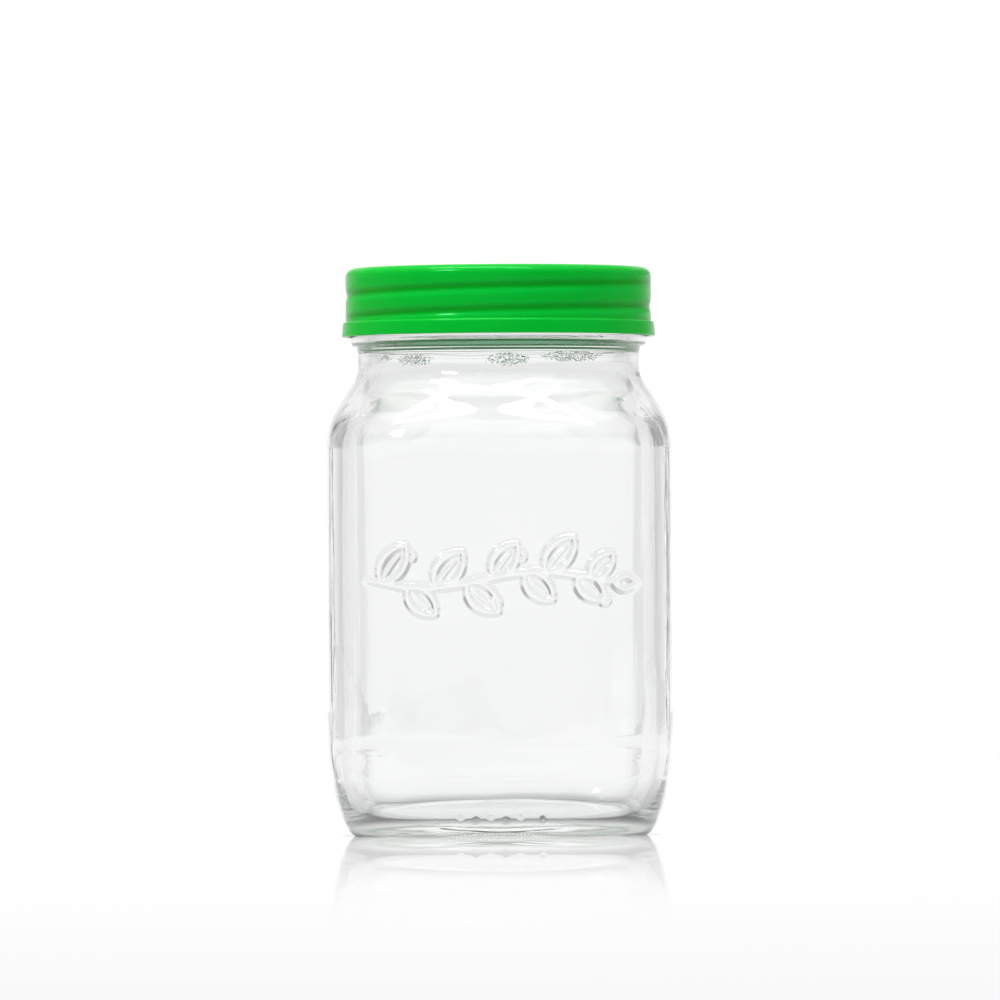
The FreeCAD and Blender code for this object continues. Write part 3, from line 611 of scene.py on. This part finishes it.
class Tree:
    def __init__(self, name):
        self.mat = bpy.data.materials.new(name)
        self.mat.use_nodes = True
        self.nt = self.mat.node_tree
        self.nt.nodes.clear()
        self.out = self.nt.nodes.new("ShaderNodeOutputMaterial")

    def node(self, kind, **values):
        n = self.nt.nodes.new(kind)
        for k, v in values.items():
            if hasattr(n, k) and k not in n.inputs:
                setattr(n, k, v)
            else:
                n.inputs[k].default_value = v
        return n

    def link(self, a, b):
        self.nt.links.new(a, b)

    def math(self, op, a, b=None, c=None, clamp=False):
        n = self.nt.nodes.new("ShaderNodeMath")
        n.operation = op
        n.use_clamp = clamp
        for i, v in enumerate((a, b, c)):
            if v is None:
                continue
            if isinstance(v, (int, float)):
                n.inputs[i].default_value = v
            else:
                self.link(v, n.inputs[i])
        return n.outputs[0]

    def ramp(self, value, stops, interpolation="LINEAR"):
        n = self.nt.nodes.new("ShaderNodeValToRGB")
        n.color_ramp.interpolation = interpolation
        e = n.color_ramp.elements
        while len(e) < len(stops):
            e.new(0.5)
        for el, (pos, col) in zip(e, stops):
            el.position = pos
            el.color = col if len(col) == 4 else (*col, 1)
        self.link(value, n.inputs[0])
        return n.outputs[0]

    def noise(self, coord, scale, detail=2.0, rough=0.5, scale3=None):
        n = self.nt.nodes.new("ShaderNodeTexNoise")
        n.inputs["Scale"].default_value = scale
        n.inputs["Detail"].default_value = detail
        n.inputs["Roughness"].default_value = rough
        if scale3 is not None:
            m = self.nt.nodes.new("ShaderNodeMapping")
            m.inputs["Scale"].default_value = scale3
            self.link(coord, m.inputs["Vector"])
            coord = m.outputs[0]
        self.link(coord, n.inputs["Vector"])
        return n.outputs[0]

    def coords(self):
        return self.nt.nodes.new("ShaderNodeTexCoord").outputs["Object"]


def glass_material():
    t = Tree("clear_glass")
    pos = t.coords()
    sep = t.node("ShaderNodeSeparateXYZ")
    t.link(pos, sep.inputs[0])
    x, y, z = sep.outputs
    slow = t.noise(pos, 42.0, 2.0, 0.45, (1.0, 1.0, 0.45))
    fine = t.noise(pos, 230.0, 2.0, 0.5, (1.0, 1.0, 0.5))
    # Stippled patches on the neck.
    vor = t.node("ShaderNodeTexVoronoi", feature="F1")
    vor.inputs["Scale"].default_value = 1450.0
    t.link(pos, vor.inputs["Vector"])
    dots = t.math("SUBTRACT", 1.0, t.math("MULTIPLY", vor.outputs["Distance"], 1.9, clamp=True), clamp=True)
    ragged = t.noise(pos, 420.0, 3.0, 0.65, (1.0, 1.0, 1.6))
    patchy = None
    for cx, cz, wx_, wz_, amt in STIPPLE:
        dx = t.math("DIVIDE", t.math("SUBTRACT", x, cx / 1000.0), wx_ / 1000.0)
        dz = t.math("DIVIDE", t.math("SUBTRACT", z, cz / 1000.0), wz_ / 1000.0)
        r2 = t.math("ADD", t.math("MULTIPLY", dx, dx), t.math("MULTIPLY", dz, dz))
        one = t.math("MULTIPLY", t.math("SUBTRACT", 1.0, r2, clamp=True), amt)
        patchy = one if patchy is None else t.math("ADD", patchy, one)
    patchy = t.math("MULTIPLY", t.math("SUBTRACT", t.math("ADD", patchy, ragged), 0.82), 3.5, clamp=True)
    in_neck = t.math("MULTIPLY", t.math("LESS_THAN", z, 0.1389), t.math("LESS_THAN", y, -0.02))
    stipple = t.math("MULTIPLY", t.math("MULTIPLY", dots, patchy), in_neck)
    below = t.math("LESS_THAN", z, 0.1385)
    height = t.math("ADD", t.math("MULTIPLY", slow, 0.00010), t.math("MULTIPLY", fine, 0.000005))
    flute = t.noise(pos, 260.0, 2.0, 0.5, (1.0, 1.0, 0.06))
    by_corner = t.math("MULTIPLY", t.math("SUBTRACT", t.math("ABSOLUTE", x), 0.034), 140.0, clamp=True)
    height = t.math("ADD", height, t.math("MULTIPLY", t.math("MULTIPLY", flute, by_corner), 0.00008))
    height = t.math("MULTIPLY", height, below)
    height = t.math("ADD", height, t.math("MULTIPLY", stipple, 0.00024))
    bump = t.node("ShaderNodeBump")
    bump.inputs["Strength"].default_value = 1.0
    bump.inputs["Distance"].default_value = 1.0
    t.link(height, bump.inputs["Height"])
    p = t.node("ShaderNodeBsdfPrincipled")
    tint = t.ramp(slow, [(0.0, (0.975, 0.985, 0.98)), (1.0, (0.99, 0.995, 0.992))])
    t.link(tint, p.inputs["Base Color"])
    p.inputs["Roughness"].default_value = 0.0
    p.inputs["IOR"].default_value = 1.5
    p.inputs["Transmission Weight"].default_value = 1.0
    t.link(bump.outputs[0], p.inputs["Normal"])
    t.link(p.outputs[0], t.out.inputs[0])
    return t.mat


def lid_material():
    t = Tree("green_gloss_plastic")
    pos = t.coords()
    sep = t.node("ShaderNodeSeparateXYZ")
    t.link(pos, sep.inputs[0])
    x, y, z = sep.outputs
    cloud = t.noise(pos, 38.0, 3.0, 0.55)
    grain = t.noise(pos, 900.0, 2.0, 0.5)
    scuff = t.noise(pos, 260.0, 4.0, 0.65, (1.0, 1.0, 5.0))
    # The plastic is a little see-through, so the thread inside shows as a deeper band that climbs with it; that band
    # is also painted shade over the upper flank of the groove outside, and a paler band of painted light lies just
    # below it.
    turn = t.math("MULTIPLY", t.math("ARCTAN2", y, x), 1 / (2 * math.pi))
    climb = t.math("MULTIPLY", t.math("SUBTRACT", turn, LID_TURNED / 360.0), PITCH / 1000.0)
    away = t.math("SUBTRACT", t.math("SUBTRACT", z, LID_Z / 1000.0), climb)
    wave = t.math("DIVIDE", away, PITCH / 1000.0)
    d = t.math("MULTIPLY", t.math("SUBTRACT", t.math("SUBTRACT", wave, t.math("FLOOR", t.math("ADD", wave, 0.5))), 0.0), PITCH)

    def bump_at(centre, width):
        q = t.math("DIVIDE", t.math("SUBTRACT", d, centre), width)
        return t.math("POWER", math.e, t.math("MULTIPLY", t.math("MULTIPLY", q, q), -1.0))

    on_wall = t.math("MULTIPLY", t.math("GREATER_THAN", z, 0.1487), t.math("LESS_THAN", z, 0.1612))
    thread_band_and_painted_shade = t.math("MULTIPLY", bump_at(0.0, 1.0), on_wall)
    # Painted light: a paler band just below each thread band, on the groove's lower flank.
    lift = t.math("MULTIPLY", bump_at(-1.9, 0.9), on_wall)
    shade = t.math("ADD", t.math("SUBTRACT", 0.5, t.math("MULTIPLY", thread_band_and_painted_shade, 0.42)), t.math("MULTIPLY", lift, 0.16))
    shade = t.math("ADD", shade, t.math("MULTIPLY", t.math("SUBTRACT", cloud, 0.5), 0.25), clamp=True)
    # The deepest colour is for the thread band with its painted shade, the palest for the painted light below it.
    base = t.ramp(shade, [(0.0, (0.0003, 0.31, 0.0004)), (0.5, (0.0004, 0.51, 0.030)), (1.0, (0.0008, 0.64, 0.070))])
    p = t.node("ShaderNodeBsdfPrincipled")
    t.link(base, p.inputs["Base Color"])
    rough = t.math("ADD", 0.08, t.math("MULTIPLY", scuff, 0.13))
    t.link(rough, p.inputs["Roughness"])
    p.inputs["IOR"].default_value = 1.45
    lw = t.node("ShaderNodeLayerWeight")
    lw.inputs["Blend"].default_value = 0.5
    rim = t.math("MULTIPLY", t.math("SUBTRACT", lw.outputs["Facing"], 0.22), 3.0, clamp=True)
    t.link(t.math("SUBTRACT", 0.5, t.math("MULTIPLY", rim, 0.38)), p.inputs["Specular IOR Level"])
    p.inputs["Subsurface Weight"].default_value = 0.35
    p.inputs["Subsurface Radius"].default_value = (0.25, 1.0, 0.4)
    p.inputs["Subsurface Scale"].default_value = 0.0035
    p.inputs["Specular Tint"].default_value = (0.22, 1.0, 0.45, 1.0)
    bump = t.node("ShaderNodeBump")
    bump.inputs["Strength"].default_value = 0.6
    bump.inputs["Distance"].default_value = 1.0
    t.link(t.math("ADD", t.math("MULTIPLY", grain, 0.000006), t.math("MULTIPLY", scuff, 0.000014)), bump.inputs["Height"])
    t.link(bump.outputs[0], p.inputs["Normal"])
    t.link(p.outputs[0], t.out.inputs[0])
    return t.mat


def liner_material():
    t = Tree("pale_green_foam")
    pos = t.coords()
    vor = t.node("ShaderNodeTexVoronoi", feature="F1")
    vor.inputs["Scale"].default_value = 1700.0
    t.link(pos, vor.inputs["Vector"])
    cells = t.math("MULTIPLY", vor.outputs["Distance"], 1.0, clamp=True)
    cloud = t.noise(pos, 60.0, 3.0, 0.5)
    base = t.ramp(cloud, [(0.3, (0.30, 0.84, 0.44)), (0.7, (0.35, 0.89, 0.50))])
    p = t.node("ShaderNodeBsdfPrincipled")
    t.link(base, p.inputs["Base Color"])
    p.inputs["Roughness"].default_value = 0.62
    bump = t.node("ShaderNodeBump")
    bump.inputs["Strength"].default_value = 0.5
    bump.inputs["Distance"].default_value = 1.0
    t.link(t.math("MULTIPLY", cells, 0.00006), bump.inputs["Height"])
    t.link(bump.outputs[0], p.inputs["Normal"])
    t.link(p.outputs[0], t.out.inputs[0])
    return t.mat


GLASS, GREEN, FOAM = glass_material(), lid_material(), liner_material()
for ob, mat, node, body in (
    (jar, GLASS, "glass_jar", "jar"),
    (lid, GREEN, "screw_lid", "lid"),
    (liner, FOAM, "lid_liner", "liner"),
):
    ob.data.materials.clear()
    ob.data.materials.append(mat)
    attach(ob, body)
    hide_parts(node)
    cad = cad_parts[node]
    cad.data.materials.clear()
    cad.data.materials.append(mat)

# ------------------------------------------------------------------ floor, light and camera
floor_me = bpy.data.meshes.new("floor")
F = 9.0
floor_me.from_pydata([(-F, -F, 0), (F, -F, 0), (F, F, 0), (-F, F, 0)], [], [(0, 1, 2, 3)])
floor = bpy.data.objects.new("floor", floor_me)
bpy.context.scene.collection.objects.link(floor)
floor.location.z = -0.00005
t = Tree("pale_floor")
pos = t.coords()
length = t.node("ShaderNodeVectorMath", operation="LENGTH")
t.link(pos, length.inputs[0])
near = t.math("SUBTRACT", 1.0, t.math("DIVIDE", length.outputs["Value"], 1.35), clamp=True)
near = t.math("POWER", near, 1.3)
fres = t.node("ShaderNodeFresnel")
fres.inputs["IOR"].default_value = 1.45
graze = t.math("POWER", fres.outputs[0], 1.4)
psep = t.node("ShaderNodeSeparateXYZ")
t.link(pos, psep.inputs[0])
# Painted shade on the floor: its glow is darkest in front, out of the picture, and palest behind the jar.
ahead = t.math("MULTIPLY", t.math("ADD", psep.outputs[1], 2.5), 1.9, clamp=True)
# Painted light under the jar: the floor is palest in the middle, with a ring of painted shadow along the soft square
# foot.
x4 = t.math("POWER", t.math("ABSOLUTE", psep.outputs[0]), 4.0)
y4 = t.math("POWER", t.math("ABSOLUTE", psep.outputs[1]), 4.0)
square = t.math("POWER", t.math("ADD", x4, y4), 0.25)
clear = t.math("MULTIPLY", t.math("SUBTRACT", 0.040, square), 180.0, clamp=True)
clear = t.math("ADD", 1.0, t.math("MULTIPLY", clear, 3.0))
ring = t.math("DIVIDE", t.math("ABSOLUTE", t.math("SUBTRACT", square, 0.0428)), 0.0040)
ring = t.math("SUBTRACT", 1.0, t.math("MULTIPLY", ring, ring), clamp=True)
painted_contact_shadow = t.math("SUBTRACT", 1.0, t.math("MULTIPLY", ring, 0.5))
# Painted shade: the floor's glow is a little darker far out to the sides.
aside = t.math("MULTIPLY", t.math("SUBTRACT", t.math("ABSOLUTE", psep.outputs[0]), 0.45), 1.1, clamp=True)
aside = t.math("SUBTRACT", 1.0, t.math("MULTIPLY", aside, 0.3))
behind = t.math("MULTIPLY", t.math("ADD", psep.outputs[1], 0.25), 2.2, clamp=True)
amount = t.math("MULTIPLY", t.math("MULTIPLY", near, graze), 0.8, clamp=True)
em = t.node("ShaderNodeEmission")
em.inputs["Color"].default_value = (1, 1, 1, 1)
# The white glow seen at a low angle carries the painted shade in front, to the sides and in a ring along the foot.
level = t.math("MULTIPLY", t.math("ADD", 0.22, t.math("MULTIPLY", ahead, 0.78)), BACKDROP)
t.link(t.math("MULTIPLY", t.math("MULTIPLY", level, painted_contact_shadow), aside), em.inputs["Strength"])
dif = t.node("ShaderNodeBsdfDiffuse")
# The floor's colour carries the ring of painted shadow along the foot.
tone = t.math("MULTIPLY", painted_contact_shadow, 0.46)
t.link(tone, dif.inputs["Color"])
# Painted light: the floor glows faintly, more behind the jar, less in front, most under the jar and less in the ring
# of painted shadow.
glow = t.node("ShaderNodeEmission")
low = t.math("MULTIPLY", t.math("ADD", 0.09, t.math("MULTIPLY", behind, 0.19)), t.math("ADD", 0.3, t.math("MULTIPLY", ahead, 0.7)))
t.link(t.math("MULTIPLY", t.math("MULTIPLY", low, clear), painted_contact_shadow), glow.inputs["Strength"])
pale = t.node("ShaderNodeAddShader")
t.link(dif.outputs[0], pale.inputs[0])
t.link(glow.outputs[0], pale.inputs[1])
white = t.node("ShaderNodeMixShader")
t.link(graze, white.inputs[0])
t.link(pale.outputs[0], white.inputs[1])
t.link(em.outputs[0], white.inputs[2])
gl = t.node("ShaderNodeBsdfGlossy")
gl.inputs["Color"].default_value = (1, 1, 1, 1)
gl.inputs["Roughness"].default_value = 0.0
mix = t.node("ShaderNodeMixShader")
t.link(amount, mix.inputs[0])
t.link(white.outputs[0], mix.inputs[1])
t.link(gl.outputs[0], mix.inputs[2])
t.link(mix.outputs[0], t.out.inputs[0])
floor_me.materials.append(t.mat)

# The room: a bright backdrop, paler sides, a soft ceiling and a dim side where the camera stands.
world = bpy.data.worlds.new("studio")
bpy.context.scene.world = world
world.use_nodes = True
nt = world.node_tree
nt.nodes.clear()
wout = nt.nodes.new("ShaderNodeOutputWorld")
bg = nt.nodes.new("ShaderNodeBackground")
tc = nt.nodes.new("ShaderNodeTexCoord")
sx = nt.nodes.new("ShaderNodeSeparateXYZ")
nt.links.new(tc.outputs["Generated"], sx.inputs[0])


def wmath(op, a, b=None, c=None, clamp=False):
    n = nt.nodes.new("ShaderNodeMath")
    n.operation = op
    n.use_clamp = clamp
    for i, v in enumerate((a, b, c)):
        if v is None:
            continue
        if isinstance(v, (int, float)):
            n.inputs[i].default_value = v
        else:
            nt.links.new(v, n.inputs[i])
    return n.outputs[0]


def wramp(value, lo, hi, stops):
    n = nt.nodes.new("ShaderNodeValToRGB")
    n.color_ramp.interpolation = "EASE"
    e = n.color_ramp.elements
    while len(e) < len(stops):
        e.new(0.5)
    for el, (pos_, v) in zip(e, stops):
        el.position = (pos_ - lo) / (hi - lo)
        el.color = (v, v, v, 1)
    nt.links.new(wmath("DIVIDE", wmath("SUBTRACT", value, lo), hi - lo), n.inputs[0])
    return n.outputs[0]


wx, wy, wz = sx.outputs
around = wramp(wy, -1.0, 1.0, ((-1.0, FRONT_DIM), (-0.35, FRONT_DIM), (0.15, SIDES), (0.5, SIDES), (0.93, AROUND), (0.978, AROUND), (0.993, BACKDROP), (1.0, BACKDROP)))
# Dim cards stand behind on both sides, above the level of the jar, the right one darker.
on_right = wramp(wx, -1.0, 1.0, ((-1.0, 0.0), (0.18, 0.0), (0.30, 1.0), (0.62, 1.0), (0.85, 0.0)))
on_left = wramp(wx, -1.0, 1.0, ((-0.85, 0.0), (-0.62, 1.0), (-0.30, 1.0), (-0.18, 0.0), (1.0, 0.0)))
card = wramp(wz, -1.0, 1.0, ((-1.0, 0.0), (0.055, 0.0), (0.11, 1.0), (0.27, 1.0), (0.38, 0.0)))
shade = wmath("ADD", wmath("MULTIPLY", on_right, 1.0 - RIGHT_DIM), wmath("MULTIPLY", on_left, 1.0 - LEFT_DIM))
cards = wmath("SUBTRACT", 1.0, wmath("MULTIPLY", shade, card))
up = wramp(wz, -1.0, 1.0, ((-1.0, 0.0), (0.5, 0.0), (0.8, 1.0), (1.0, 1.0)))
level = wmath("MULTIPLY", around, cards)
level = wmath("ADD", wmath("MULTIPLY", level, wmath("SUBTRACT", 1.0, up)), wmath("MULTIPLY", up, CEILING))
nt.links.new(level, bg.inputs["Strength"])
bg.inputs["Color"].default_value = (1, 1, 1, 1)
nt.links.new(bg.outputs[0], wout.inputs[0])


def area(name, loc, target, sx_, sy_, power, color=(1, 1, 1)):
    la = bpy.data.lights.new(name, "AREA")
    la.shape = "RECTANGLE"
    la.size, la.size_y = sx_, sy_
    la.energy = power
    la.color = color
    ob = bpy.data.objects.new(name, la)
    bpy.context.scene.collection.objects.link(ob)
    ob.location = loc
    ob.rotation_euler = (Vector(target) - Vector(loc)).to_track_quat("-Z", "Y").to_euler()
    return ob


area("key_left", (-1.38, -1.38, 1.7), (0, 0, 0.12), 0.5, 0.5, 13)
area("top_strip", (-0.15, -0.35, 1.7), (0, 0, 0.1), 1.6, 0.22, 17)

cam_data = bpy.data.cameras.new("camera")
cam_data.sensor_width = 36.0
cam_data.lens = 478.0
cam_data.dof.use_dof = False
cam = bpy.data.objects.new("camera", cam_data)
bpy.context.scene.collection.objects.link(cam)
eye = Vector((0.0, -3.84, 0.051))
aim = Vector((0.0002, 0.0, 0.0968))
look = (aim - eye).to_track_quat("-Z", "Y").to_matrix().to_4x4()
cam.matrix_world = Matrix.Translation(eye) @ look @ Matrix.Rotation(math.radians(-0.3), 4, "Z")
bpy.context.scene.camera = cam

scene = bpy.context.scene
scene.view_settings.view_transform = "Standard"
scene.view_settings.look = "None"
scene.cycles.max_bounces = 96
scene.cycles.transmission_bounces = 96
scene.cycles.glossy_bounces = 64
scene.cycles.caustics_refractive = True
scene.cycles.caustics_reflective = True
